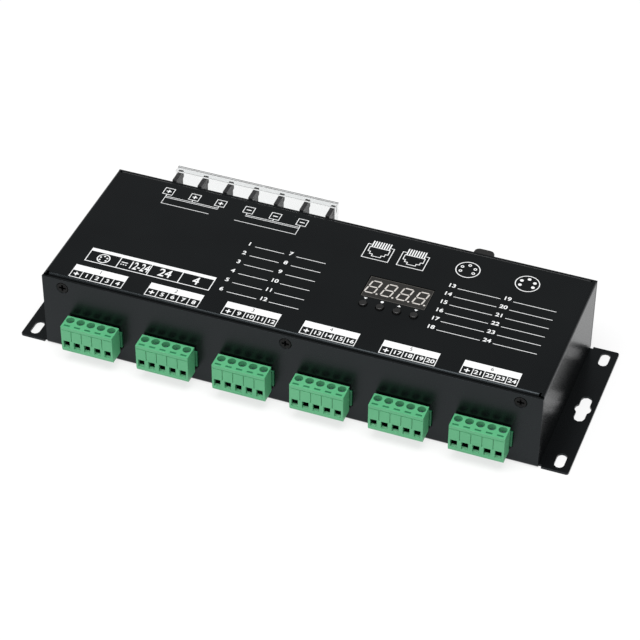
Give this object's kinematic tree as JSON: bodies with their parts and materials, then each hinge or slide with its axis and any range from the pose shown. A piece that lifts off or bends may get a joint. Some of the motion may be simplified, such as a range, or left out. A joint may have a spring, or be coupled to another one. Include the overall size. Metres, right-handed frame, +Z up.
{
  "type": "multi-channel DMX LED dimmer",
  "caption": "Flanged sheet-metal LED dimmer with pluggable outputs, a guarded DC barrier strip, data connectors, and a display with buttons.",
  "frame": {"origin": "middle of the base plane, at the centre of the bounding box in X and Y", "axes": "+X along the case towards the data connectors, +Y towards the back wall with the inputs, +Z up through the cover"},
  "size_m": [0.2634, 0.1054, 0.0419],
  "materials": {
    "powder_coat": "semi-matte black powder coat",
    "black_steel": "blackened steel",
    "plated_steel": "nickel-plated steel",
    "laminate": "green solder mask on glass-fibre laminate",
    "header_plastic": "moulded green plastic",
    "plug_plastic": "moulded green plastic",
    "strip_plastic": "moulded black plastic",
    "clear_plastic": "clear moulded plastic",
    "display_plastic": "dark face with pale segments",
    "spacer_brass": "turned brass",
    "black_plastic": "moulded black plastic",
    "connector_plastic": "moulded black plastic",
    "capacitor_sleeve": "shrink sleeve"
  },
  "bodies": {
    "case": {"board_screw_1": "plated_steel", "board_screw_2": "plated_steel", "board_screw_3": "plated_steel", "board_screw_4": "plated_steel", "case_screw_1": "black_steel", "case_screw_2": "black_steel", "case_screw_3": "black_steel", "case_screw_4": "black_steel", "case_screw_5": "black_steel", "case_screw_6": "black_steel", "chassis_tray": "powder_coat", "control_board": "laminate", "display_module": "display_plastic", "display_spacer_1": "spacer_brass", "display_spacer_2": "spacer_brass", "display_spacer_3": "spacer_brass", "display_spacer_4": "spacer_brass", "input_capacitor_1": "capacitor_sleeve", "input_capacitor_2": "capacitor_sleeve", "input_screw_1": "plated_steel", "input_screw_2": "plated_steel", "input_screw_3": "plated_steel", "input_screw_4": "plated_steel", "input_screw_5": "plated_steel", "input_screw_6": "plated_steel", "input_strip": "strip_plastic", "main_board": "laminate", "network_jack_1": "black_plastic", "network_jack_2": "black_plastic", "output_header_1": "header_plastic", "output_header_2": "header_plastic", "output_header_3": "header_plastic", "output_header_4": "header_plastic", "output_header_5": "header_plastic", "output_header_6": "header_plastic", "switch_1": "black_plastic", "switch_2": "black_plastic", "switch_3": "black_plastic", "switch_4": "black_plastic", "top_cover": "powder_coat", "xlr_in_housing": "connector_plastic", "xlr_in_insert": "connector_plastic", "xlr_out_housing": "connector_plastic", "xlr_out_insert": "connector_plastic", "xlr_screw_1": "black_steel", "xlr_screw_2": "black_steel", "xlr_screw_3": "black_steel", "xlr_screw_4": "black_steel"},
    "plug_1": {"output_plug_1": "plug_plastic"},
    "plug_2": {"output_plug_2": "plug_plastic"},
    "plug_3": {"output_plug_3": "plug_plastic"},
    "plug_4": {"output_plug_4": "plug_plastic"},
    "plug_5": {"output_plug_5": "plug_plastic"},
    "plug_6": {"output_plug_6": "plug_plastic"},
    "push_button_1": {"button_1": "black_plastic"},
    "push_button_2": {"button_2": "black_plastic"},
    "push_button_3": {"button_3": "black_plastic"},
    "push_button_4": {"button_4": "black_plastic"},
    "strip_guard": {"input_strip_cover": "clear_plastic"},
    "latch_tab": {"xlr_latch": "black_plastic"}
  },
  "joints": [
    {"name": "plug_1_slide", "type": "slide", "parent": "case", "child": "plug_1", "axis": [0, -1, 0], "range_m": [0, 0.012]},
    {"name": "plug_2_slide", "type": "slide", "parent": "case", "child": "plug_2", "axis": [0, -1, 0], "range_m": [0, 0.012]},
    {"name": "plug_3_slide", "type": "slide", "parent": "case", "child": "plug_3", "axis": [0, -1, 0], "range_m": [0, 0.012]},
    {"name": "plug_4_slide", "type": "slide", "parent": "case", "child": "plug_4", "axis": [0, -1, 0], "range_m": [0, 0.012]},
    {"name": "plug_5_slide", "type": "slide", "parent": "case", "child": "plug_5", "axis": [0, -1, 0], "range_m": [0, 0.012]},
    {"name": "plug_6_slide", "type": "slide", "parent": "case", "child": "plug_6", "axis": [0, -1, 0], "range_m": [0, 0.012]},
    {"name": "push_button_1_slide", "type": "slide", "parent": "case", "child": "push_button_1", "axis": [0, 0, -1], "range_m": [0, 0.0003], "stiffness_N_per_m": 400},
    {"name": "push_button_2_slide", "type": "slide", "parent": "case", "child": "push_button_2", "axis": [0, 0, -1], "range_m": [0, 0.0003], "stiffness_N_per_m": 400},
    {"name": "push_button_3_slide", "type": "slide", "parent": "case", "child": "push_button_3", "axis": [0, 0, -1], "range_m": [0, 0.0003], "stiffness_N_per_m": 400},
    {"name": "push_button_4_slide", "type": "slide", "parent": "case", "child": "push_button_4", "axis": [0, 0, -1], "range_m": [0, 0.0003], "stiffness_N_per_m": 400},
    {"name": "strip_guard_slide", "type": "slide", "parent": "case", "child": "strip_guard", "axis": [0, 1, 0], "range_m": [0, 0.012]},
    {"name": "latch_tab_slide", "type": "slide", "parent": "case", "child": "latch_tab", "axis": [0, -1, 0], "range_m": [0, 0.0015], "stiffness_N_per_m": 600}
  ]
}
